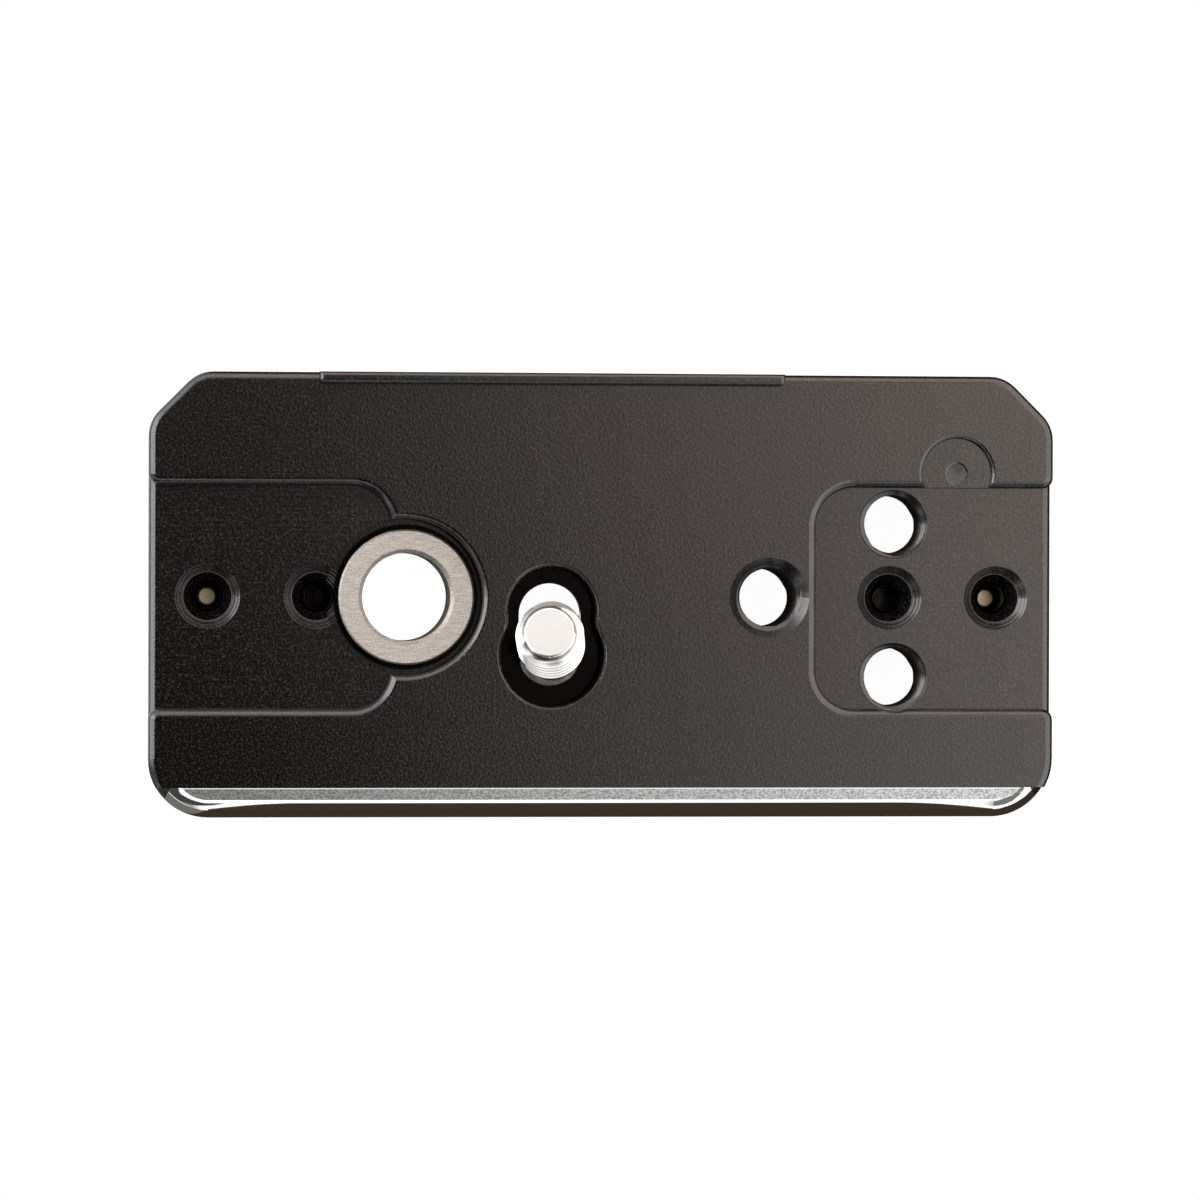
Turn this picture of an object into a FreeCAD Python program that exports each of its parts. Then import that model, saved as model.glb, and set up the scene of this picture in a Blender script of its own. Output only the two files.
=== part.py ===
import FreeCAD, Part
import math
import os

# Camera bracket plate: a milled plate with a pressed-in bush, a captive camera screw and two set screws.
# Millimetres, +Z up. The origin is the centre of the plate's underside.
# +X runs along the plate, +Y points to its rear edge, and the camera sits on the +Z side.

# Plate blank
plate_length = 85.3
plate_width = 41.7
plate_thickness = 10.0
rear_corner_cut = 4.65
rear_corner_blend = 3.4
front_corner_radius = 5.6
top_edge_radius = 0.75
bottom_edge_radius = 0.5

# Bright bevel along the front edge: a flat facet, and a round nose that runs out round the front corners
bevel_width = 2.85
facet_slope = 18.0
nose_radius = 2.55
nose_run_off = 0.02

# Lip along the rear edge, centred on the camera screw
lip_length = 43.65
lip_width = 1.1
lip_height = 1.2
lip_edge_radius = 0.4

# Pockets open to the plate's two ends
pocket_reach = 22.6
pocket_width = 20.9
pocket_depth = 1.6
pocket_y = -0.17
pocket_corner_radius = 3.7
pocket_mouth_radius = 1.0

# Flanged bush in its seat
bush_x = -18.55
bush_y = -0.15
bush_bore = 8.3
bush_flange_diameter = 12.7
bush_flange_thickness = 1.8
bush_sleeve_diameter = 10.6
bush_chamfer = 0.35
bush_drop = 1.5
bush_end_gap = 0.3
seat_gap = 1.0
seat_shift = -0.25
seat_rim_radius = 0.55

# M3 countersunk holes in the pockets: the inner two are blind, the outer two go through
m3_left_x = -27.0
m3_right_x = 27.2
m3_pitch = 10.15
m3_y = -0.12
m3_bore = 2.5
m3_mouth = 3.0
m3_shoulder = 4.55
m3_countersink = 6.1
m3_shoulder_depth = 2.35
m3_depth = 6.7

# Brass set screws that close the outer M3 holes from the underside
set_screw_length = 2.2
set_screw_inset = 0.2
set_screw_point = 1.8
set_screw_slot_width = 0.5
set_screw_slot_depth = 0.6

# 1/4"-20 tapped holes, modelled at the thread's outer diameter
thread_diameter = 6.35
centre_hole_x = 15.55
centre_hole_y = -0.1
centre_hole_chamfer = 0.6
pair_x = 27.55
pair_y = -0.37
pair_pitch = 14.5
pair_thread_length = 6.0
pair_relief_diameter = 9.4
pair_chamfer = 0.08
pair_notch_gap = 0.22
small_chamfer = 0.15

# Keyhole pocket and slot for the captive camera screw
keyhole_x = -4.95
keyhole_depth = 3.0
keyhole_rim_radius = 0.3
keyhole_waist_radius = 3.0
rear_lobe_clearance = 1.0
front_lobe_clearance = 1.675
rear_lobe_shift = 0.35
flange_thickness = 1.3
slot_lap = 0.25
slot_front_room = 0.4
slide_travel = 3.4

# Captive camera screw, leaning in its slot
screw_y = -5.15
screw_side_play = 0.26
screw_lean_back = 11.5
screw_lean_left = 6.0
stud_height = 5.0
tip_diameter = 4.6
neck_clearance = 0.65
head_diameter = 9.0
head_height = 2.4
head_chamfer = 0.3
head_clearance = 1.0
head_tilt_gap = 0.1
socket_across_flats = 4.0
socket_depth = 1.8

# Shallow round recess with a centre mark, near the right pocket
recess_x = 33.4
recess_y = 11.65
recess_diameter = 6.6
recess_depth = 0.5
recess_rim_radius = 0.35
centre_mark_diameter = 2.2
centre_mark_depth = 0.25

# Room that cutting tools run past the metal
overrun = 5.0

# Values that follow from the sizes above
half_length = plate_length / 2
half_width = plate_width / 2
front_y = -half_width
floor_z = plate_thickness - pocket_depth
thread_radius = thread_diameter / 2
slot_width = thread_diameter - 2 * slot_lap
neck_radius = slot_width / 2 - neck_clearance
slot_front_y = screw_y - slot_front_room
slot_rear_y = screw_y + slide_travel
ledge_top_z = plate_thickness - keyhole_depth
ledge_bottom_z = ledge_top_z - flange_thickness
lean_back = math.radians(screw_lean_back)
lean_left = math.radians(screw_lean_left)
screw_x = keyhole_x + screw_side_play
m3_inner_places = (m3_left_x, m3_right_x)
m3_outer_places = (m3_left_x - m3_pitch, m3_right_x + m3_pitch)


def vec(x, y, z):
    return FreeCAD.Vector(x, y, z)


def prism(points, bottom, top):
    """A straight-sided solid over a polygon of (x, y) points."""
    loop = [vec(x, y, bottom) for x, y in points]
    face = Part.Face(Part.makePolygon(loop + loop[:1]))
    return face.extrude(vec(0, 0, top - bottom))


def turned(points, x, y):
    """A solid of revolution about a vertical axis, from (radius, z) points."""
    loop = [vec(radius, 0, z) for radius, z in points]
    face = Part.Face(Part.makePolygon(loop + loop[:1]))
    solid = face.revolve(vec(0, 0, 0), vec(0, 0, 1), 360)
    solid.translate(vec(x, y, 0))
    return solid


def rimmed_tool(x, y, radius, rim, below):
    """A round cutter with a rounded mouth at the plate's top, from the (radius, z) points of its bottom."""
    top = plate_thickness + overrun
    rim_z = plate_thickness - rim
    bend = math.sqrt(0.5) * rim
    corners = [vec(0, 0, top)]
    corners += [vec(reach, 0, z) for reach, z in below]
    corners.append(vec(radius, 0, rim_z))
    mouth = vec(radius + rim, 0, plate_thickness)
    mouth_top = vec(radius + rim, 0, top)
    edges = [Part.LineSegment(a, b).toShape() for a, b in zip(corners, corners[1:])]
    edges.append(Part.Arc(corners[-1], vec(radius + rim - bend, 0, rim_z + bend), mouth).toShape())
    edges.append(Part.LineSegment(mouth, mouth_top).toShape())
    edges.append(Part.LineSegment(mouth_top, corners[0]).toShape())
    solid = Part.Face(Part.Wire(edges)).revolve(vec(0, 0, 0), vec(0, 0, 1), 360)
    solid.translate(vec(x, y, 0))
    return solid


def obround(width, x, y_start, y_end, bottom, top):
    """A vertical slot tool with round ends, running along Y."""
    radius = width / 2
    front_left = vec(x - radius, y_start, bottom)
    front_right = vec(x + radius, y_start, bottom)
    rear_left = vec(x - radius, y_end, bottom)
    rear_right = vec(x + radius, y_end, bottom)
    curves = [
        Part.LineSegment(rear_left, front_left),
        Part.Arc(front_left, vec(x, y_start - radius, bottom), front_right),
        Part.LineSegment(front_right, rear_right),
        Part.Arc(rear_right, vec(x, y_end + radius, bottom), rear_left),
    ]
    wire = Part.Wire([curve.toShape() for curve in curves])
    return Part.Face(wire).extrude(vec(0, 0, top - bottom))


def upright_edges(solid, chosen):
    """The vertical edges whose (x, y) place is accepted by the given test."""
    found = []
    for edge in solid.Edges:
        box = edge.BoundBox
        if box.ZLength > 1e-6 and box.XLength < 1e-6 and box.YLength < 1e-6 and chosen(box.XMin, box.YMin):
            found.append(edge)
    return found


def edges_at(solid, z):
    """The edges that lie flat at one height."""
    found = []
    for edge in solid.Edges:
        box = edge.BoundBox
        if abs(box.ZMin - z) < 1e-6 and box.ZLength < 1e-6:
            found.append(edge)
    return found


def blank(bottom, top):
    """The plate's outline between two heights, with its corners rounded."""
    cut = rear_corner_cut
    corners = [
        (-half_length, front_y),
        (half_length, front_y),
        (half_length, half_width - cut),
        (half_length - cut, half_width),
        (-half_length + cut, half_width),
        (-half_length, half_width - cut),
    ]
    solid = prism(corners, bottom, top)
    solid = solid.makeFillet(front_corner_radius, upright_edges(solid, lambda x, y: y < 0))
    return solid.makeFillet(rear_corner_blend, upright_edges(solid, lambda x, y: y > half_width - cut - 1e-6))


def side_pocket(side, bottom):
    """The tool for one end pocket, with its two inner corners rounded."""
    inner = side * (half_length - pocket_reach)
    outer = side * (half_length + overrun)
    low = pocket_y - pocket_width / 2
    high = pocket_y + pocket_width / 2
    x_min = min(inner, outer)
    x_max = max(inner, outer)
    corners = [(x_min, low), (x_max, low), (x_max, high), (x_min, high)]
    solid = prism(corners, bottom, plate_thickness + overrun)
    return solid.makeFillet(pocket_corner_radius, upright_edges(solid, lambda x, y: abs(x - inner) < 1e-6))


def lands():
    """The raised top layer around the end pockets, rooted in the slab below."""
    root = floor_z - 2 * top_edge_radius
    solid = blank(root, plate_thickness)
    for side in (-1, 1):
        solid = solid.cut(side_pocket(side, root - overrun))
    half_pocket = pocket_width / 2
    mouths = upright_edges(
        solid,
        lambda x, y: abs(abs(x) - half_length) < 1e-6 and abs(abs(y - pocket_y) - half_pocket) < 1e-6,
    )
    solid = solid.makeFillet(pocket_mouth_radius, mouths)
    return solid.makeFillet(top_edge_radius, edges_at(solid, plate_thickness))


def slab():
    """The plate up to the pocket floors, with its outer edges rounded."""
    solid = blank(0, floor_z)
    solid = solid.makeFillet(top_edge_radius, edges_at(solid, floor_z))
    return solid.makeFillet(bottom_edge_radius, edges_at(solid, 0))


def rear_lip():
    """The low rounded lip that stops the camera from turning."""
    root = plate_thickness - 2 * top_edge_radius
    solid = Part.makeBox(
        lip_length,
        lip_width,
        plate_thickness + lip_height - root,
        vec(keyhole_x - lip_length / 2, half_width - lip_width, root),
    )
    top = edges_at(solid, plate_thickness + lip_height)
    return solid.makeFillet(lip_edge_radius, top + upright_edges(solid, lambda x, y: y < half_width - 1e-6))


def front_tool():
    """What the front cutter takes away: all that lies outside the facet and the round nose below it."""
    rise = math.tan(math.radians(facet_slope))
    start_y = front_y + bevel_width
    out_y = front_y - overrun
    side = half_length + nose_run_off
    front = front_y - nose_run_off
    top = plate_thickness + nose_radius
    form = prism([(-side, front), (side, front), (side, half_width), (-side, half_width)], 0, top)
    form = form.makeFillet(front_corner_radius + nose_run_off, upright_edges(form, lambda x, y: y < 0))

    section = [
        vec(-side - overrun, start_y + nose_radius / rise, top),
        vec(-side - overrun, out_y, plate_thickness - (start_y - out_y) * rise),
        vec(-side - overrun, out_y, top),
    ]
    above = Part.Face(Part.makePolygon(section + section[:1])).extrude(vec(2 * (side + overrun), 0, 0))
    form = form.cut(above)
    nose = []
    for edge in form.Edges:
        middle = edge.valueAt((edge.FirstParameter + edge.LastParameter) / 2)
        on_facet = abs(plate_thickness - middle.z - (start_y - middle.y) * rise) < 1e-6
        if on_facet and middle.z < top - 1e-6:
            nose.append(edge)
    form = form.makeFillet(nose_radius, nose)

    height = plate_thickness + overrun
    room_length = 2 * (side + overrun)
    room_width = overrun + bevel_width + nose_run_off
    room = Part.makeBox(room_length, room_width, height, vec(-room_length / 2, out_y, 0))
    return room.cut(form)


def bush_seat():
    """The counterbore around the bush's flange, with a rounded rim."""
    radius = bush_flange_diameter / 2 + seat_gap
    bottom = plate_thickness - bush_drop - bush_flange_thickness
    return rimmed_tool(bush_x + seat_shift, bush_y, radius, seat_rim_radius, [(0, bottom), (radius, bottom)])


def sleeve_bore():
    """The bore that takes the bush's sleeve, right through the plate."""
    height = plate_thickness + 2 * overrun
    return Part.makeCylinder(bush_sleeve_diameter / 2, height, vec(bush_x, bush_y, -overrun))


def m3_hole(x, bottom):
    """An M3 hole with a countersink and a shoulder, from the pocket floor down to the given height."""
    sink = m3_countersink / 2
    shoulder = m3_shoulder / 2
    mouth = m3_mouth / 2
    bore = m3_bore / 2
    top = plate_thickness + overrun
    mouth_z = floor_z - m3_shoulder_depth
    points = [
        (0, top),
        (0, bottom),
        (bore, bottom),
        (bore, mouth_z - (mouth - bore)),
        (mouth, mouth_z),
        (shoulder, floor_z - (sink - shoulder)),
        (sink, floor_z),
        (sink, top),
    ]
    return turned(points, x, m3_y)


def centre_hole():
    """The 1/4"-20 hole right through the plate, chamfered at both faces."""
    wide = thread_radius + centre_hole_chamfer
    top = plate_thickness
    points = [
        (0, top + overrun),
        (0, -overrun),
        (wide, -overrun),
        (wide, 0),
        (thread_radius, centre_hole_chamfer),
        (thread_radius, top - centre_hole_chamfer),
        (wide, top),
        (wide, top + overrun),
    ]
    return turned(points, centre_hole_x, centre_hole_y)


def pair_hole(y):
    """A 1/4"-20 hole from the right pocket, relieved from the underside."""
    relief = pair_relief_diameter / 2
    mouth = thread_radius + pair_chamfer
    notch = thread_radius + pair_notch_gap
    relief_z = floor_z - pair_thread_length
    points = [
        (0, plate_thickness + overrun),
        (0, -overrun),
        (relief, -overrun),
        (relief, relief_z),
        (thread_radius, relief_z),
        (thread_radius, floor_z - pair_chamfer),
        (mouth, floor_z),
        (notch, floor_z),
        (notch, plate_thickness + overrun),
    ]
    return turned(points, pair_x, y)


def keyhole_pocket():
    """The two-lobed pocket around the camera screw, with a smooth waist."""
    rear = thread_radius + rear_lobe_clearance
    front = thread_radius + front_lobe_clearance
    height = plate_thickness + overrun - ledge_top_z
    rear_lobe = Part.makeCylinder(rear, height, vec(keyhole_x, slot_rear_y + rear_lobe_shift, ledge_top_z))
    front_lobe = Part.makeCylinder(front, height, vec(keyhole_x, slot_front_y, ledge_top_z))
    solid = rear_lobe.fuse(front_lobe).removeSplitter()
    waist_end = slot_rear_y + min(rear_lobe_shift, 0)
    waist = upright_edges(solid, lambda x, y: slot_front_y < y < waist_end)
    return solid.makeFillet(keyhole_waist_radius, waist)


def screw_stations():
    """Where the head seat, thread start and tip lie along the screw, from the middle of the slot's ledge."""
    rise = math.cos(lean_back) * math.cos(lean_left)
    tilt = math.sqrt(1 - rise * rise)
    half_ledge = flange_thickness / 2
    head_seat = (half_ledge + head_tilt_gap + head_diameter / 2 * tilt) / rise
    thread_start = (half_ledge + head_tilt_gap + thread_radius * tilt) / rise
    tip = (plate_thickness + stud_height - (ledge_top_z + ledge_bottom_z) / 2) / rise
    return head_seat, thread_start, tip


def head_pocket():
    """The slot in the underside that the screw's head slides in, with room for its lean."""
    head_seat = screw_stations()[0]
    width = head_diameter + 2 * head_clearance
    front = screw_y - (head_seat + head_height) * math.sin(lean_back)
    rear = screw_y - head_seat * math.sin(lean_back) + slide_travel
    return obround(width, keyhole_x, front, rear, -overrun, ledge_bottom_z)


def round_recess():
    """The shallow round recess and the cone left at its centre."""
    bottom = plate_thickness - recess_depth
    radius = recess_diameter / 2
    below = [(0, bottom - centre_mark_depth), (centre_mark_diameter / 2, bottom), (radius, bottom)]
    return rimmed_tool(recess_x, recess_y, radius, recess_rim_radius, below)


def keyhole_rim(solid):
    """The edges around the keyhole pocket's mouth."""
    reach = thread_radius + front_lobe_clearance + 1e-3
    found = []
    for edge in edges_at(solid, plate_thickness):
        box = edge.BoundBox
        beside = keyhole_x - reach < box.XMin and box.XMax < keyhole_x + reach
        if beside and slot_front_y - reach < box.YMin and box.YMax < slot_rear_y + reach:
            found.append(edge)
    return found


def plate_body():
    solid = slab().fuse(lands()).fuse(rear_lip()).removeSplitter()
    solid = solid.cut(keyhole_pocket())
    solid = solid.makeFillet(keyhole_rim_radius, keyhole_rim(solid))
    tools = [
        front_tool(),
        bush_seat(),
        sleeve_bore(),
        centre_hole(),
        round_recess(),
        head_pocket(),
        obround(slot_width, keyhole_x, slot_front_y, slot_rear_y, 0, plate_thickness),
    ]
    tools += [pair_hole(pair_y + side * pair_pitch / 2) for side in (-1, 1)]
    tools += [m3_hole(x, floor_z - m3_depth) for x in m3_inner_places]
    tools += [m3_hole(x, -overrun) for x in m3_outer_places]
    for tool in tools:
        solid = solid.cut(tool)
    return solid.removeSplitter()


def steel_bush():
    flange_top = plate_thickness - bush_drop
    flange_bottom = flange_top - bush_flange_thickness
    bore = bush_bore / 2
    sleeve = bush_sleeve_diameter / 2
    flange = bush_flange_diameter / 2
    points = [
        (bore + bush_chamfer, flange_top),
        (bore, flange_top - bush_chamfer),
        (bore, bush_end_gap + bush_chamfer),
        (bore + bush_chamfer, bush_end_gap),
        (sleeve, bush_end_gap),
        (sleeve, flange_bottom),
        (flange, flange_bottom),
        (flange, flange_top - small_chamfer),
        (flange - small_chamfer, flange_top),
    ]
    return turned(points, bush_x, bush_y)


def camera_screw():
    head_seat, thread_start, tip = screw_stations()
    head = head_diameter / 2
    head_bottom = -head_seat - head_height
    tip_radius = tip_diameter / 2
    tip_chamfer = thread_radius - tip_radius
    start_chamfer = thread_radius - neck_radius
    points = [
        (0, head_bottom),
        (head - head_chamfer, head_bottom),
        (head, head_bottom + head_chamfer),
        (head, -head_seat - small_chamfer),
        (head - small_chamfer, -head_seat),
        (neck_radius, -head_seat),
        (neck_radius, thread_start),
        (thread_radius, thread_start + start_chamfer),
        (thread_radius, tip - tip_chamfer),
        (tip_radius, tip),
        (0, tip),
    ]
    solid = turned(points, 0, 0)
    corner = socket_across_flats / math.sqrt(3)
    hexagon = [(corner * math.cos(math.pi * k / 3), corner * math.sin(math.pi * k / 3)) for k in range(6)]
    solid = solid.cut(prism(hexagon, head_bottom - overrun, head_bottom + socket_depth))
    origin = vec(0, 0, 0)
    solid.rotate(origin, vec(1, 0, 0), -screw_lean_back)
    solid.rotate(origin, vec(0, 1, 0), -screw_lean_left)
    solid.translate(vec(screw_x, screw_y, (ledge_top_z + ledge_bottom_z) / 2))
    return solid


def brass_set_screws():
    screws = []
    radius = m3_bore / 2
    point = set_screw_point / 2
    bottom = set_screw_inset
    top = bottom + set_screw_length
    points = [
        (0, bottom),
        (radius, bottom),
        (radius, top - (radius - point)),
        (point, top),
        (0, top),
    ]
    for x in m3_outer_places:
        slot = Part.makeBox(
            m3_bore * 2,
            set_screw_slot_width,
            set_screw_slot_depth + overrun,
            vec(x - m3_bore, m3_y - set_screw_slot_width / 2, bottom - overrun),
        )
        screws.append(turned(points, x, m3_y).cut(slot))
    return Part.makeCompound(screws)


os.makedirs("parts", exist_ok=True)
nodes = {
    "plate_body": plate_body(),
    "steel_bush": steel_bush(),
    "camera_screw": camera_screw(),
    "brass_set_screws": brass_set_screws(),
}
for name, shape in nodes.items():
    state = "valid" if shape.isValid() else "INVALID"
    print(name, state, "solids", len(shape.Solids), "volume", round(shape.Volume, 2))
    shape.exportStep(f"parts/{name}.step")
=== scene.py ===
import math
import bmesh
import bpy
import numpy as np
from mathutils import Matrix, Vector


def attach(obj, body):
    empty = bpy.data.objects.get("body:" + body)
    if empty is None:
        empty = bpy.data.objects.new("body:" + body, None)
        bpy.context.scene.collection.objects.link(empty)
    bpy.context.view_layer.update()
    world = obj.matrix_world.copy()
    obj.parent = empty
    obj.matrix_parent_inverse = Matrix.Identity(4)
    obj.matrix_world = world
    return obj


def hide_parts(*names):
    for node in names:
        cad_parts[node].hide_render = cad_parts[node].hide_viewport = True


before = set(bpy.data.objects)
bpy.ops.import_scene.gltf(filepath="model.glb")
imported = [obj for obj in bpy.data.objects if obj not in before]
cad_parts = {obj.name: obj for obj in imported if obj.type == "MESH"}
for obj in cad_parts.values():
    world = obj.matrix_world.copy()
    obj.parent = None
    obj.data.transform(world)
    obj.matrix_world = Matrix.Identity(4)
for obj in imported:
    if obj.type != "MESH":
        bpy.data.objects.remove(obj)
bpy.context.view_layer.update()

# Sizes in millimetres: those of the part, and where its finishes begin and end
MM = 0.001
plate_top = 10.0
pocket_floor = 8.4
front_y = -20.85
bevel_width = 2.85
bare_half_length = 40.5
bare_end_slant = 0.55
facet_rise = math.tan(math.radians(18.0))
thread_pitch = 1.27
thread_outer = 3.175
thread_root_depth = 0.75
ridge_height = 0.45
ridge_sink = 0.03
ridge_back = 0.08
ridge_taper = 0.2
centre_hole = (15.55, -0.1, 0.6, 9.4)
rear_hole = (27.55, 6.88, 2.4, 8.32)
front_hole = (27.55, -7.62, 2.4, 8.32)
m3_x = (-37.15, -27.0, 27.2, 37.35)
m3_y = -0.12
m3_countersink = 6.1
m3_bore_shade = (2.4, 2.3)
m3_bore_top = (6.3, 6.0)
recess_xy = (33.4, 11.65)
recess_radius = 3.3
recess_floor = 9.5
dimple_edge = (1.1, 0.9)
bush_xy = (-18.55, -0.15)
seat_shade_radius = 6.75
keyhole_x = -4.95
front_lobe_y = -5.55
keyhole_length = 4.5
keyhole_reach = 5.6
ledge_top = 7.0

# The camera screw: its place, lean and stations along its axis from the middle of the slot's ledge
screw_place = (-4.69, -5.15, 6.35)
screw_lean_back = 11.5
screw_lean_left = 6.0
half_ledge = 0.65
head_tilt_gap = 0.1
stud_top = 15.0
head_radius = 4.5
head_height = 2.4
head_chamfer = 0.3
small_chamfer = 0.15
neck_radius = 2.275
tip_radius = 2.3
tip_round = 0.08
tip_slope = 1.1
socket_apothem = 2.0
socket_depth = 1.8
screw_rise = math.cos(math.radians(screw_lean_back)) * math.cos(math.radians(screw_lean_left))
screw_tilt = math.sqrt(1 - screw_rise * screw_rise)
lean_left = Matrix.Rotation(math.radians(-screw_lean_left), 3, "Y")
lean_back = Matrix.Rotation(math.radians(-screw_lean_back), 3, "X")
screw_turn = lean_left @ lean_back
screw_axis = tuple(screw_turn @ Vector((0, 0, 1)))
head_seat = (half_ledge + head_tilt_gap + head_radius * screw_tilt) / screw_rise
thread_start = (half_ledge + head_tilt_gap + thread_outer * screw_tilt) / screw_rise
screw_tip = (stud_top - screw_place[2]) / screw_rise

# Where the photograph was taken from, in millimetres, and its lens
camera_at = (-40.5, 0.96, 450.0)
camera_aim = (-0.46, -0.377, 10.0)
camera_roll = 0.0029
focal_over_width = 3.9255
sensor_width = 36.0


class Nodes:
    """A short way to build one node tree."""

    def __init__(self, tree):
        self.tree = tree
        tree.nodes.clear()

    def add(self, kind, **inputs):
        node = self.tree.nodes.new(kind)
        for key, value in inputs.items():
            self.put(node, key, value)
        return node

    def put(self, node, key, value):
        """Link a socket to an input, or set the input to a constant."""
        socket = node.inputs[key]
        if isinstance(value, bpy.types.NodeSocket):
            self.tree.links.new(value, socket)
        else:
            socket.default_value = value

    def math(self, operation, a, b=0.0, c=0.0):
        node = self.tree.nodes.new("ShaderNodeMath")
        node.operation = operation
        for index, value in enumerate((a, b, c)):
            self.put(node, index, value)
        return node.outputs[0]

    def vector(self, operation, a, b=(0, 0, 0)):
        node = self.tree.nodes.new("ShaderNodeVectorMath")
        node.operation = operation
        self.put(node, 0, a)
        self.put(node, 1, b)
        return node.outputs[0]

    def step(self, value, low, high):
        """0 below low, 1 above high and smooth between; low may lie above high."""
        node = self.tree.nodes.new("ShaderNodeMapRange")
        node.interpolation_type = "SMOOTHSTEP"
        self.put(node, "Value", value)
        self.put(node, "From Min", low)
        self.put(node, "From Max", high)
        return node.outputs["Result"]

    def ramp(self, value, low, high):
        """0 below low, 1 above high and straight between."""
        node = self.add("ShaderNodeMapRange", Value=value)
        self.put(node, "From Min", low)
        self.put(node, "From Max", high)
        return node.outputs["Result"]

    def mix(self, factor, a, b):
        """Between two numbers."""
        node = self.tree.nodes.new("ShaderNodeMix")
        node.data_type = "FLOAT"
        self.put(node, 0, factor)
        self.put(node, 2, a)
        self.put(node, 3, b)
        return node.outputs[0]

    def blend(self, factor, a, b):
        """Between two colours."""
        node = self.tree.nodes.new("ShaderNodeMix")
        node.data_type = "RGBA"
        self.put(node, 0, factor)
        self.put(node, 6, a)
        self.put(node, 7, b)
        return node.outputs[2]

    def noise(self, where, scale, detail=2.0, roughness=0.5):
        node = self.add("ShaderNodeTexNoise", Vector=where, Scale=scale)
        self.put(node, "Detail", detail)
        self.put(node, "Roughness", roughness)
        return node.outputs["Fac"]

    def millimetres(self):
        """The object's own coordinates, in millimetres."""
        place = self.add("ShaderNodeTexCoord").outputs["Object"]
        return self.vector("MULTIPLY", place, (1000, 1000, 1000))

    def parts(self, whole):
        """The x, y and z of a vector."""
        node = self.add("ShaderNodeSeparateXYZ", Vector=whole)
        return node.outputs[0], node.outputs[1], node.outputs[2]

    def facing_up(self):
        """1 on level faces that look up, 0 on upright ones."""
        return self.parts(self.add("ShaderNodeNewGeometry").outputs["True Normal"])[2]

    def distance(self, x, y, centre):
        """From an upright line through the centre."""
        dx = self.math("SUBTRACT", x, centre[0])
        dy = self.math("SUBTRACT", y, centre[1])
        square = self.math("MULTIPLY_ADD", dx, dx, self.math("MULTIPLY", dy, dy))
        return self.math("SQRT", square)

    def combine(self, x, y, z):
        node = self.tree.nodes.new("ShaderNodeCombineXYZ")
        for index, value in enumerate((x, y, z)):
            self.put(node, index, value)
        return node.outputs[0]

    def length(self, a):
        node = self.tree.nodes.new("ShaderNodeVectorMath")
        node.operation = "LENGTH"
        self.put(node, 0, a)
        return node.outputs["Value"]

    def bump(self, height, strength):
        """A normal that leans with a height of up to 0.02 mm."""
        node = self.add("ShaderNodeBump", Strength=strength, Distance=0.00002, Height=height)
        return node.outputs[0]

    def surface(self, shader):
        out = self.tree.nodes.new("ShaderNodeOutputMaterial")
        self.tree.links.new(shader.outputs[0], out.inputs["Surface"])


def new_material(name):
    material = bpy.data.materials.new(name)
    material.use_nodes = True
    return material, Nodes(material.node_tree)


# Finish of the plate: linear colours, noise scales per millimetre, soft edges in millimetres
dye_dark = (0.0003, 0.0003, 0.0003, 1)
dye_light = (0.0006, 0.0005, 0.0005, 1)
dye_speck = (0.0270, 0.0240, 0.0226, 1)
ring_colour = (0.12, 0.11, 0.10, 1)
# Painted shade colours for the hollows deep in the plate
shade_dark = (0.006, 0.0055, 0.0055, 1)
shade_light = (0.012, 0.011, 0.0105, 1)
satin_dark = (0.30, 0.315, 0.31, 1)
satin_light = (0.84, 0.865, 0.86, 1)
# Darker colours for the left end of the bevel
left_end_dark = (0.08, 0.081, 0.079, 1)
left_end_light = (0.26, 0.264, 0.257, 1)
# Painted highlight colour for the bevel's edge
edge_highlight_colour = (0.95, 0.95, 0.945, 1)
nose_silver = (0.88, 0.88, 0.87, 1)
left_end_share = 0.92
grain_scale = 3.4
satin_scale = 5.0
speck_scale = 4.5
wave_scale = 0.5
line_scale = 1.6
line_stretch = (0.05, 2.6, 1.0)
ring_waves = 22.0
recess_waves = 24.0
ring_line_middle = 1.9
ring_line_offset = 0.39
plate_bump = 0.4
plate_ior = 1.7
wall_roughness = 0.24
dimple_roughness = 0.55
nose_roughness = 0.015
# Share of painted shade on the tapped threads
thread_shade_share = 0.15


# The bare front bevel: where it is, where its nose is polished below the facet's plane, and a painted
# highlight along its top edge and ends
def bare_masks(n, x, y, z, up):
    start_y = front_y + bevel_width
    in_front = n.step(y, start_y + 0.03, start_y + 0.01)
    bare_end = n.math("MULTIPLY_ADD", n.math("SUBTRACT", start_y, y), bare_end_slant, bare_half_length)
    to_end = n.math("SUBTRACT", bare_end, n.math("ABSOLUTE", x))
    in_length = n.step(to_end, -0.02, 0.02)
    sloping = n.math("MULTIPLY", n.step(up, 0.02, 0.05), n.step(up, 0.99, 0.97))
    bare = n.math("MULTIPLY", n.math("MULTIPLY", in_front, in_length), sloping)
    plane = n.math("MULTIPLY_ADD", n.math("SUBTRACT", y, start_y), facet_rise, plate_top)
    polished = n.step(n.math("SUBTRACT", plane, z), 0.0003, 0.0012)
    # A painted highlight along the facet's top edge and its ends
    edge_highlight = n.math("MAXIMUM", n.step(y, start_y - 0.14, start_y - 0.05), n.step(to_end, 0.25, 0.1))
    return bare, polished, edge_highlight
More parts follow.
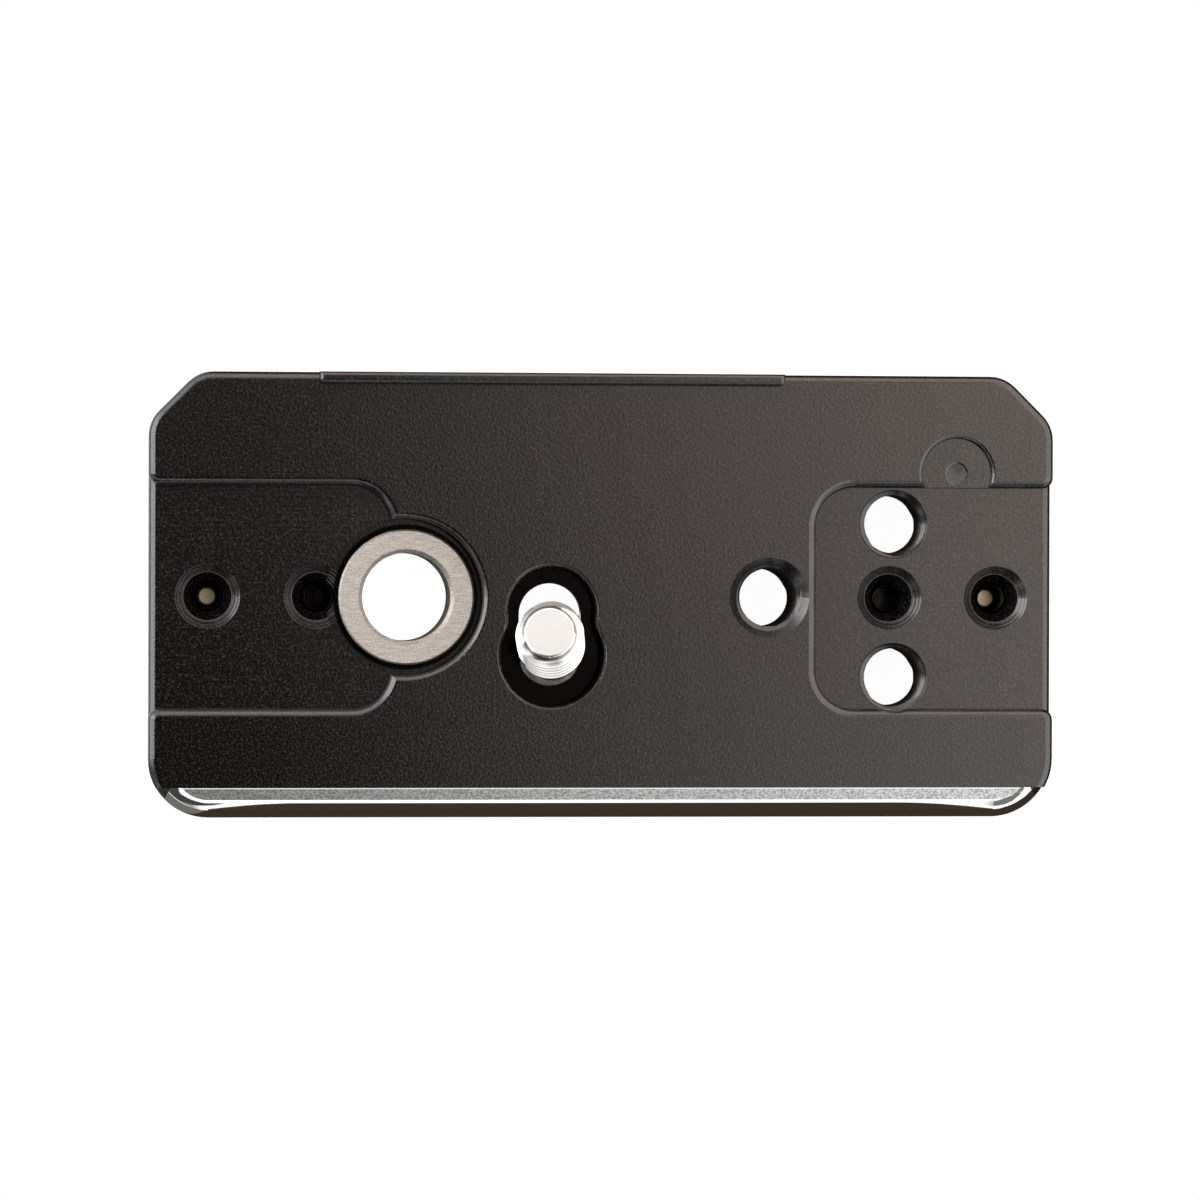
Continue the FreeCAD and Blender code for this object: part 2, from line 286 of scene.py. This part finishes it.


# Deep in the holes, in the keyhole and in the bush's seat the finish is painted dark as painted shade, and
# the tapped threads get a little of it
def painted_shade_mask(n, where, x, y, z, ring_distance):
    keyhole_y = n.math("MAXIMUM", n.math("MINIMUM", y, front_lobe_y + keyhole_length), front_lobe_y)
    keyhole_middle = n.vector("ADD", (keyhole_x, 0, 0), n.combine(0.0, keyhole_y, z))
    to_keyhole = n.length(n.vector("SUBTRACT", where, keyhole_middle))
    in_keyhole = n.step(to_keyhole, keyhole_reach + 0.1, keyhole_reach)
    in_keyhole = n.math("MULTIPLY", in_keyhole, n.step(z, ledge_top + 1.6, ledge_top + 0.2))
    in_seat = n.step(n.distance(x, y, bush_xy), seat_shade_radius + 0.2, seat_shade_radius)
    in_seat = n.math("MULTIPLY", in_seat, n.step(z, pocket_floor - 0.2, pocket_floor - 0.6))
    in_bore = n.math("MULTIPLY", n.step(ring_distance, *m3_bore_shade), n.step(z, *m3_bore_top))
    painted_shade = n.math("MAXIMUM", n.math("MAXIMUM", in_keyhole, in_seat), in_bore)
    for hole in (centre_hole, rear_hole, front_hole):
        in_thread = n.step(n.distance(x, y, hole), thread_outer + 0.08, thread_outer + 0.02)
        in_thread = n.math("MULTIPLY", in_thread, n.step(z, hole[3] + 0.1, hole[3] - 0.2))
        painted_shade = n.math("MAXIMUM", painted_shade, n.math("MULTIPLY", in_thread, thread_shade_share))
    return painted_shade


# Black anodised aluminium with the bare front bevel
def anodised_material():
    material, n = new_material("black_anodised")
    where = n.millimetres()
    x, y, z = n.parts(where)
    up = n.facing_up()
    bare, polished, edge_highlight = bare_masks(n, x, y, z, up)

    # Grain of the blasted surface, and milling lines on the pocket floors
    grain = n.noise(where, grain_scale, 2.0, 0.75)
    on_floor = n.math("MULTIPLY", n.step(z, pocket_floor + 0.1, pocket_floor + 0.02), n.step(up, 0.9, 0.98))
    lines = n.noise(n.vector("MULTIPLY", where, line_stretch), line_scale, 2.0, 0.6)
    lined = n.math("ADD", n.math("MULTIPLY", grain, 0.8), n.math("MULTIPLY", lines, 0.7))
    texture = n.mix(on_floor, grain, lined)

    # Turned rings in the countersinks and in the round recess
    ring_distance = n.distance(x, y, (m3_x[0], m3_y))
    for place in m3_x[1:]:
        ring_distance = n.math("MINIMUM", ring_distance, n.distance(x, y, (place, m3_y)))
    recess_distance = n.distance(x, y, recess_xy)
    below_pocket = n.step(z, pocket_floor - 0.02, pocket_floor - 0.06)
    in_holes = n.step(ring_distance, m3_countersink / 2 + 0.05, m3_countersink / 2)
    in_holes = n.math("MULTIPLY", in_holes, below_pocket)
    from_recess_floor = n.math("ABSOLUTE", n.math("SUBTRACT", z, recess_floor))
    in_recess = n.step(recess_distance, recess_radius, recess_radius - 0.05)
    in_recess = n.math("MULTIPLY", in_recess, n.step(from_recess_floor, 0.35, 0.25))
    rings = n.math("SINE", n.math("MULTIPLY", ring_distance, ring_waves))
    recess_rings = n.math("SINE", n.math("MULTIPLY", recess_distance, recess_waves))
    texture = n.mix(in_holes, texture, n.math("MULTIPLY_ADD", rings, 0.3, 0.5))
    texture = n.mix(in_recess, texture, n.math("MULTIPLY_ADD", recess_rings, 0.06, grain))

    # The bevel's satin, darker towards the left end, and a painted highlight along its edge
    satin = n.noise(where, satin_scale, 2.0, 0.75)
    flecks = n.step(satin, 0.3, 0.7)
    silver = n.blend(flecks, satin_dark, satin_light)
    left_end_colour = n.blend(flecks, left_end_dark, left_end_light)
    # Darker towards the left end
    silver = n.blend(n.math("MULTIPLY", n.ramp(x, 40.0, -40.0), left_end_share), silver, left_end_colour)
    # The painted highlight on the bevel's edge
    silver = n.blend(edge_highlight, silver, edge_highlight_colour)
    silver = n.blend(polished, silver, nose_silver)

    # The dye, with grey specks and a pale line round each countersink
    waves = n.noise(where, wave_scale, 1.0, 0.5)
    dye = n.blend(waves, dye_dark, dye_light)
    specks = n.noise(where, speck_scale, 2.0, 0.8)
    dye = n.blend(n.step(specks, 0.48, 0.74), dye, dye_speck)
    from_middle = n.math("ABSOLUTE", n.math("SUBTRACT", ring_distance, ring_line_middle))
    from_line = n.math("ABSOLUTE", n.math("SUBTRACT", from_middle, ring_line_offset))
    ring_line = n.math("MULTIPLY", n.step(from_line, 0.05, 0.02), below_pocket)
    dye = n.blend(n.math("MULTIPLY", ring_line, 0.6), dye, ring_colour)
    # Painted shade deep in the holes, the keyhole and the seat; there the finish turns dark and metallic
    painted_shade = painted_shade_mask(n, where, x, y, z, ring_distance)
    shade_colour = n.blend(grain, shade_dark, shade_light)

    metal_roughness = n.mix(polished, n.math("MULTIPLY_ADD", satin, 0.12, 0.26), nose_roughness)
    paint_roughness = n.math("MULTIPLY_ADD", texture, 0.05, 0.065)
    paint_roughness = n.mix(n.step(up, 0.985, 0.93), paint_roughness, wall_roughness)
    below_recess = n.step(z, recess_floor - 0.01, recess_floor - 0.04)
    in_dimple = n.math("MULTIPLY", n.step(recess_distance, *dimple_edge), below_recess)
    paint_roughness = n.mix(in_dimple, paint_roughness, dimple_roughness)
    bare_height = n.mix(polished, n.math("MULTIPLY", satin, 0.6), 0.5)
    shader = n.add("ShaderNodeBsdfPrincipled")
    n.put(shader, "Base Color", n.blend(bare, n.blend(painted_shade, dye, shade_colour), silver))
    n.put(shader, "Metallic", n.math("MAXIMUM", bare, painted_shade))
    n.put(shader, "Roughness", n.mix(bare, paint_roughness, metal_roughness))
    n.put(shader, "IOR", plate_ior)
    n.put(shader, "Normal", n.bump(n.mix(bare, texture, bare_height), plate_bump))
    n.surface(shader)
    return material


# A metal whose colour, roughness and normal are given
def metal(n, colour, roughness, normal=None):
    shader = n.add("ShaderNodeBsdfPrincipled", Metallic=1.0)
    n.put(shader, "Base Color", colour)
    n.put(shader, "Roughness", roughness)
    if normal is not None:
        n.put(shader, "Normal", normal)
    n.surface(shader)


# Matte ground steel of the bush, with clouds of a browner grey
bush_dark = (0.155, 0.142, 0.130, 1)
bush_light = (0.60, 0.567, 0.534, 1)
bush_cloud = (0.44, 0.405, 0.37, 1)
scratch_stretch = (0.6, 7.0, 1.0)


def bush_material():
    material, n = new_material("stainless_matte")
    where = n.millimetres()
    speckle = n.noise(where, 8.0, 3.0, 0.8)
    cloud = n.noise(where, 0.8, 2.0, 0.5)
    scratch = n.noise(n.vector("MULTIPLY", where, scratch_stretch), 1.4, 2.0, 0.6)
    tone = n.math("ADD", n.math("MULTIPLY", speckle, 0.7), n.math("MULTIPLY", scratch, 0.3))
    tone = n.step(tone, 0.3, 0.7)
    colour = n.blend(tone, bush_dark, bush_light)
    colour = n.blend(n.math("MULTIPLY", cloud, 0.3), colour, bush_cloud)
    roughness = n.math("MULTIPLY_ADD", speckle, 0.2, 0.42)
    metal(n, colour, roughness, n.bump(tone, 0.25))
    return material


# Bright turned steel of the camera screw, with painted shade in the thread's roots
steel_dark = (0.80, 0.785, 0.765, 1)
steel_light = (0.93, 0.915, 0.895, 1)
# Painted shade colour for the thread's roots
root_shade_colour = (0.09, 0.085, 0.075, 1)
root_shade_start = (2.36, 2.41)
root_shade_end = (2.64, 2.50)


def screw_material():
    material, n = new_material("stainless_bright")
    where = n.millimetres()
    speckle = n.noise(where, 5.0, 3.0, 0.6)
    colour = n.blend(speckle, steel_dark, steel_light)
    from_axis = n.vector("CROSS_PRODUCT", n.vector("SUBTRACT", where, screw_place), screw_axis)
    radius = n.length(from_axis)
    # Painted shade in the thread's roots, by distance from the screw's axis
    root_shade = n.math("MULTIPLY", n.step(radius, *root_shade_start), n.step(radius, *root_shade_end))
    colour = n.blend(n.math("MULTIPLY", root_shade, 0.75), colour, root_shade_colour)
    roughness = n.math("MULTIPLY_ADD", speckle, 0.10, 0.16)
    metal(n, colour, roughness, n.bump(speckle, 0.15))
    return material


# Brass of the set screws, darker towards its edge
brass_dark = (0.20, 0.14, 0.08, 1)
brass_light = (0.78, 0.66, 0.47, 1)
# Darker colour towards the edge of each brass end
edge_dark_colour = (0.03, 0.022, 0.014, 1)
dark_edge_radii = (0.65, 0.8)


def brass_material():
    material, n = new_material("brass")
    where = n.millimetres()
    x, y = n.parts(where)[:2]
    speckle = n.noise(where, 6.0, 3.0, 0.6)
    left = n.distance(x, y, (m3_x[0], m3_y))
    right = n.distance(x, y, (m3_x[-1], m3_y))
    # Darker towards the edge of each brass end
    toward_edge = n.step(n.math("MINIMUM", left, right), *dark_edge_radii)
    colour = n.blend(speckle, brass_dark, brass_light)
    colour = n.blend(toward_edge, colour, edge_dark_colour)
    metal(n, colour, n.math("MULTIPLY_ADD", speckle, 0.2, 0.3))
    return material


# Thread shapes
columns = 144
steps_per_pitch = 12
root_share = 0.2
flank_share = 0.6
weld_distance = 0.001 * MM
sliver_edge = 0.0005 * MM
sharp_angle = math.radians(35)
angles = np.arange(columns) * 2 * math.pi / columns


def lathe_grid(rows):
    """Points and faces of a turned surface, from (height, radii) rows; the radii may vary round it."""
    points = []
    for height, radii in rows:
        ring = [radii * np.cos(angles), radii * np.sin(angles), angles * 0 + height]
        points.append(np.stack(ring, axis=-1))
    index = np.arange(len(rows) * columns).reshape(len(rows), columns)
    ahead = np.roll(index, -1, axis=1)
    faces = np.stack([index[:-1], ahead[:-1], ahead[1:], index[1:]], axis=-1).reshape(-1, 4)
    return np.array(points).reshape(-1, 3), faces


def thread_grid(low, high, radius_at):
    """Points and faces of a right-hand thread; radius_at takes heights, and 0 at roots to 1 on crests."""
    turns = math.ceil((high - low) / thread_pitch) + 2
    place = np.arange(turns * steps_per_pitch + 1) / steps_per_pitch
    from_root = np.abs(np.mod(place, 1.0) - 0.5) * 2
    crest = np.clip((from_root - root_share) / flank_share, 0, 1)[:, None]
    height = low - thread_pitch + thread_pitch * (place[:, None] + angles / (2 * math.pi))
    height = np.clip(height, low, high)
    radius = radius_at(height, crest)
    points = np.stack([radius * np.cos(angles), radius * np.sin(angles), height], axis=-1)
    index = np.arange(height.size).reshape(height.shape)
    corners = [index[:-1, :-1], index[:-1, 1:], index[1:, 1:], index[1:, :-1]]
    inner = np.stack(corners, axis=-1).reshape(-1, 4)
    last = index[:-1 - steps_per_pitch, -1]
    last_up = index[1:-steps_per_pitch, -1]
    first = index[steps_per_pitch:-1, 0]
    first_up = index[steps_per_pitch + 1:, 0]
    seam = np.stack([last, first, first_up, last_up], axis=-1)
    return points.reshape(-1, 3), np.concatenate([inner, seam])


def joined_object(name, grids, place):
    """One object from several grids whose edges meet, moved by a function of the points."""
    points = []
    faces = []
    count = 0
    for grid_points, grid_faces in grids:
        points.append(grid_points)
        faces.append(grid_faces + count)
        count += len(grid_points)
    mesh = bpy.data.meshes.new(name)
    mesh.from_pydata((place(np.concatenate(points)) * MM).tolist(), [], np.concatenate(faces).tolist())
    shape = bmesh.new()
    shape.from_mesh(mesh)
    bmesh.ops.remove_doubles(shape, verts=shape.verts, dist=weld_distance)
    bmesh.ops.dissolve_degenerate(shape, edges=shape.edges, dist=sliver_edge)
    bmesh.ops.recalc_face_normals(shape, faces=shape.faces)
    shape.to_mesh(mesh)
    shape.free()
    mesh.polygons.foreach_set("use_smooth", np.ones(len(mesh.polygons), dtype=bool))
    mesh.set_sharp_from_angle(angle=sharp_angle)
    made = bpy.data.objects.new(name, mesh)
    bpy.context.scene.collection.objects.link(made)
    return made


# The camera screw, with its thread, head and hexagon socket
def make_screw():
    sector = np.mod(angles + math.pi / 6, math.pi / 3) - math.pi / 6
    hexagon = socket_apothem / np.cos(sector)
    head_end = -head_seat - head_height
    tip_edge = screw_tip - tip_round
    head = lathe_grid([
        (head_end + socket_depth, 0.0),
        (head_end + socket_depth, hexagon),
        (head_end, hexagon),
        (head_end, head_radius - head_chamfer),
        (head_end + head_chamfer, head_radius),
        (-head_seat - small_chamfer, head_radius),
        (-head_seat, head_radius - small_chamfer),
        (-head_seat, neck_radius),
        (thread_start, neck_radius),
    ])

    def radius_at(height, crest):
        radius = thread_outer - thread_root_depth * (1 - crest)
        radius = np.minimum(radius, neck_radius + (height - thread_start))
        return np.minimum(radius, tip_radius + (tip_edge - height) * tip_slope)

    thread = thread_grid(thread_start, tip_edge, radius_at)
    end = lathe_grid([
        (tip_edge, tip_radius),
        (screw_tip - 0.3 * tip_round, tip_radius - 0.3 * tip_round),
        (screw_tip, tip_radius - tip_round),
        (screw_tip, tip_radius - 2 * tip_round),
        (screw_tip, 0.0),
    ])
    turn = np.array(screw_turn).T
    place = np.array(screw_place)
    return joined_object("camera_screw_threaded", [head, thread, end], lambda p: p @ turn + place)


# Thread ridges inside one tapped hole, rooted just inside its wall
def make_ridges(name, hole):
    x, y, low, high = hole
    root = thread_outer + ridge_sink
    outside = thread_outer + ridge_back

    def radius_at(height, crest):
        ends = np.clip(np.minimum(height - low, high - height) / ridge_taper, 0, 1)
        return root - (ridge_height + root - thread_outer) * crest * ends

    thread = thread_grid(low, high, radius_at)
    back = lathe_grid([(high, root), (high, outside), (low, outside), (low, root)])
    return joined_object(name, [thread, back], lambda p: p + np.array([x, y, 0.0]))


plate_finish = anodised_material()
finishes = {
    "plate_body": plate_finish,
    "steel_bush": bush_material(),
    "brass_set_screws": brass_material(),
}
for node, finish in finishes.items():
    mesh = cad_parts[node].data
    mesh.materials.clear()
    mesh.materials.append(finish)

screw = make_screw()
screw.data.materials.append(screw_material())
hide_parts("camera_screw")
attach(screw, "screw")

for name, hole in (("centre_thread", centre_hole), ("rear_thread", rear_hole), ("front_thread", front_hole)):
    ridges = make_ridges(name, hole)
    ridges.data.materials.append(plate_finish)
    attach(ridges, "plate")


def stage_sheet(name, low, high, z, material):
    """A flat sheet between two corners, in metres, that isn't part of the object."""
    mesh = bpy.data.meshes.new(name)
    corners = [(low[0], low[1], z), (high[0], low[1], z), (high[0], high[1], z), (low[0], high[1], z)]
    mesh.from_pydata(corners, [], [(0, 1, 2, 3)])
    mesh.materials.append(material)
    sheet = bpy.data.objects.new(name, mesh)
    bpy.context.scene.collection.objects.link(sheet)
    return sheet


# The floor, white to the camera and in reflections, with a faint shadow round the object
floor_half_size = 3.0
floor_z = -0.0003
shadow_reach_x = (75.0, 55.0)
shadow_reach_y = (50.0, 32.0)
shadow_glow = 0.97
shadow_tone = (0.12, 0.12, 0.12, 1)
bounce_tone = (0.8, 0.8, 0.8, 1)
white = (1, 1, 1, 1)
black = (0, 0, 0, 1)


def make_floor():
    material, n = new_material("floor_white")
    x, y = n.parts(n.millimetres())[:2]
    near_x = n.step(n.math("ABSOLUTE", x), *shadow_reach_x)
    near_y = n.step(n.math("ABSOLUTE", y), *shadow_reach_y)
    near = n.math("MULTIPLY", near_x, near_y)
    path = n.add("ShaderNodeLightPath")
    seen = n.math("MAXIMUM", path.outputs["Is Camera Ray"], path.outputs["Is Glossy Ray"])
    seen = n.math("MAXIMUM", seen, path.outputs["Is Transmission Ray"])
    glow = n.add("ShaderNodeEmission", Color=white)
    n.put(glow, "Strength", n.math("MULTIPLY", seen, n.mix(near, 1.0, shadow_glow)))
    tone = n.blend(seen, bounce_tone, n.blend(near, black, shadow_tone))
    paper = n.add("ShaderNodeBsdfDiffuse", Color=tone)
    both = n.add("ShaderNodeAddShader")
    n.put(both, 0, glow.outputs[0])
    n.put(both, 1, paper.outputs[0])
    n.surface(both)
    low = (-floor_half_size, -floor_half_size)
    stage_sheet("floor", low, (floor_half_size, floor_half_size), floor_z, material)


# Brown cards under and before the plate, and a grey one at the left, that only show in reflections
brown = (0.048, 0.036, 0.0245, 1)
brown_grain = (0.038, 0.028, 0.019, 1)
card_grey = (0.17, 0.168, 0.155, 1)
card_stretch = (0.02, 0.3, 1.0)
grey_edge = (-40.0, -41.0)
card_z = -0.0002
cards = (
    ("grey_card_left", (-0.12, -3.2), (-0.0405, -0.017)),
    ("brown_card_front", (-0.0405, -3.2), (1.0, -0.017)),
    ("brown_card_rear", (-0.041, -0.017), (0.2, 0.17)),
)


def make_cards():
    material, n = new_material("brown_card")
    where = n.millimetres()
    x = n.parts(where)[0]
    grain = n.noise(n.vector("MULTIPLY", where, card_stretch), 1.0, 3.0, 0.6)
    colour = n.blend(grain, brown_grain, brown)
    colour = n.blend(n.step(x, *grey_edge), colour, card_grey)
    n.surface(n.add("ShaderNodeEmission", Color=colour, Strength=1.0))
    for name, low, high in cards:
        card = stage_sheet(name, low, high, card_z, material)
        card.visible_camera = False
        card.visible_diffuse = False
        card.visible_transmission = False
        card.visible_shadow = False


make_floor()
make_cards()


# Soft studio light by direction: how bright each wall is, and the gaps that the polished nose shows
right_wall_light = 2.42
left_wall_light = 5.0
rear_wall_light = 2.3
front_wall_light = 1.3
corner_wall_light = 0.7
least_light = 0.03
wall_top = (0.83, 0.77)
front_top_tilt = 0.3
tilt_limit = 0.2
gap_edge_at = 0.012
gap_edge_height = 0.627
gap_edge_slope = 0.0154
gap_top_height = 0.585
gap_top_slope = 0.0005
gap_foot_height = 0.42
gap_foot_slope = -0.016
patch_middle = (0.26, 0.46)
patch_half_size = (0.16, 0.2)
patch_left = (0.170, 0.175)
patch_light = 0.2
hill_height = 0.585
hill_left = 0.026
hill_left_run = 0.02
hill_right = 0.153
hill_right_run = 0.021
pale_light = (1, 0.98, 0.97, 1)
warm_light = (1, 0.875, 0.80, 1)
front_light = (1, 1, 0.99, 1)


# The walls of a white tent that is dark overhead
def tent_walls(n, dx, dy, dz, left, front, bearing):
    right_wall = n.math("MULTIPLY", n.ramp(dx, 0.03, 0.3), n.step(dz, 0.0, 0.15))
    right_wall = n.math("MULTIPLY", right_wall, n.step(front, 0.6, 0.35))
    rear_glow = n.math("MULTIPLY", n.ramp(dy, -0.036, 0.06), n.math("MULTIPLY_ADD", dx, 1.0, 0.2))
    rear_glow = n.math("MULTIPLY", rear_glow, n.step(dz, 0.9, 0.98))
    left_wall = n.math("MULTIPLY", n.step(bearing, 9.0, 3.0), n.step(bearing, -60.0, -30.0))
    left_wall = n.math("MULTIPLY", left_wall, n.step(left, 0.22, 0.5))
    rear_wall = n.math("MULTIPLY", n.step(dy, 0.05, 0.8), n.step(dz, 0.0, 0.2))
    to_right = n.math("MINIMUM", n.math("MAXIMUM", dx, 0.0), tilt_limit)
    front_top = n.math("SUBTRACT", dz, n.math("MULTIPLY", to_right, front_top_tilt))
    front_wall = n.math("MULTIPLY", n.step(front_top, *wall_top), n.step(front, 0.35, 0.5))
    corner_wall = n.math("MULTIPLY", n.step(bearing, 9.0, 25.0), n.step(bearing, 75.0, 60.0))
    corner_wall = n.math("MULTIPLY", corner_wall, n.step(dz, *wall_top))
    level = n.math("MULTIPLY_ADD", right_wall, right_wall_light, rear_glow)
    for wall, light in (
        (left_wall, left_wall_light),
        (rear_wall, rear_wall_light),
        (front_wall, front_wall_light),
        (corner_wall, corner_wall_light),
    ):
        level = n.math("MAXIMUM", level, n.math("MULTIPLY", wall, light))
    return n.math("MAXIMUM", level, least_light)


# A dark gap at the left of the front wall, with a grey foot, and a grey patch at the right
def gap_and_patch(n, level, way, dx, dz, bearing, ahead):
    turn = n.math("MAXIMUM", n.math("SUBTRACT", 90.0, bearing), 0.0)
    from_edge_height = n.math("SUBTRACT", dz, gap_edge_height)
    gap_edge = n.math("MULTIPLY_ADD", from_edge_height, gap_edge_slope, gap_edge_at)
    gap = n.math("MULTIPLY", ahead, n.step(n.math("SUBTRACT", gap_edge, dx), -0.0005, 0.0005))
    gap_top = n.math("MULTIPLY_ADD", turn, gap_top_slope, gap_top_height)
    gap_foot = n.math("MULTIPLY_ADD", turn, gap_foot_slope, gap_foot_height)
    gap = n.math("MULTIPLY", gap, n.step(n.math("SUBTRACT", gap_top, dz), -0.01, 0.01))
    gap = n.math("MULTIPLY", gap, n.step(bearing, 32.0, 46.0))
    in_foot = n.step(n.math("SUBTRACT", gap_foot, dz), -0.02, 0.02)
    foot_level = n.mix(n.step(turn, 3.0, 14.0), 1.3, 0.3)
    gap_level = n.mix(n.step(bearing, 30.0, 55.0), 0.4, 0.06)
    level = n.mix(gap, level, n.mix(in_foot, gap_level, foot_level))
    across = n.math("DIVIDE", n.math("SUBTRACT", dx, patch_middle[0]), patch_half_size[0])
    upward = n.math("DIVIDE", n.math("SUBTRACT", dz, patch_middle[1]), patch_half_size[1])
    spread = n.math("MULTIPLY_ADD", across, across, n.math("MULTIPLY", upward, upward))
    ragged = n.math("MULTIPLY_ADD", n.noise(way, 14.0, 1.0, 0.6), 1.2, spread)
    patch = n.math("MULTIPLY", n.step(ragged, 1.7, 1.3), n.step(dx, *patch_left))
    return n.mix(n.math("MULTIPLY", ahead, patch), level, patch_light)


# The far edge of the table stands in front like a low brown hill
def table_hill(n, dx, dz, ahead):
    left_flank = n.math("DIVIDE", n.math("SUBTRACT", hill_left, dx), hill_left_run)
    right_flank = n.math("DIVIDE", n.math("SUBTRACT", dx, hill_right), hill_right_run)
    flank = n.math("MAXIMUM", n.math("MAXIMUM", left_flank, right_flank), 0.0)
    hill_top = n.math("MULTIPLY_ADD", n.math("MULTIPLY", flank, flank), -hill_height, hill_height)
    return n.math("MULTIPLY", ahead, n.step(n.math("SUBTRACT", hill_top, dz), -0.008, 0.008))


def make_world():
    world = bpy.data.worlds.new("studio")
    bpy.context.scene.world = world
    world.use_nodes = True
    n = Nodes(world.node_tree)
    way = n.add("ShaderNodeTexCoord").outputs["Generated"]
    dx, dy, dz = n.parts(way)
    left = n.math("MULTIPLY", dx, -1.0)
    front = n.math("MULTIPLY", dy, -1.0)
    bearing = n.math("DEGREES", n.math("ARCTAN2", front, left))
    ahead = n.step(front, 0.02, 0.08)
    level = tent_walls(n, dx, dy, dz, left, front, bearing)
    level = gap_and_patch(n, level, way, dx, dz, bearing, ahead)
    hill = table_hill(n, dx, dz, ahead)
    tint = n.blend(n.step(dx, -0.05, 0.04), pale_light, warm_light)
    tint = n.blend(ahead, tint, front_light)
    path = n.add("ShaderNodeLightPath")
    seen = n.math("MAXIMUM", path.outputs["Is Camera Ray"], path.outputs["Is Transmission Ray"])
    colour = n.blend(seen, n.blend(hill, tint, brown), white)
    strength = n.mix(seen, n.mix(hill, level, 1.0), 1.0)
    background = n.add("ShaderNodeBackground", Color=colour, Strength=strength)
    out = n.add("ShaderNodeOutputWorld")
    n.put(out, "Surface", background.outputs[0])


make_world()


# The camera, from the pixels of the plate's outline
def make_camera():
    data = bpy.data.cameras.new("camera")
    data.sensor_width = sensor_width
    data.sensor_fit = "HORIZONTAL"
    data.lens = sensor_width * focal_over_width
    data.clip_start = 0.01
    data.clip_end = 20.0
    camera = bpy.data.objects.new("camera", data)
    place = Vector(camera_at) * MM
    ahead = (Vector(camera_aim) * MM - place).normalized()
    right = ahead.cross(Vector((0, 1, 0))).normalized()
    up = right.cross(ahead)
    turned_right = right * math.cos(camera_roll) + up * math.sin(camera_roll)
    turned_up = up * math.cos(camera_roll) - right * math.sin(camera_roll)
    basis = Matrix((turned_right, turned_up, -ahead)).transposed()
    camera.matrix_world = Matrix.Translation(place) @ basis.to_4x4()
    bpy.context.scene.collection.objects.link(camera)
    bpy.context.scene.camera = camera


make_camera()
bpy.context.scene.view_settings.view_transform = "Standard"
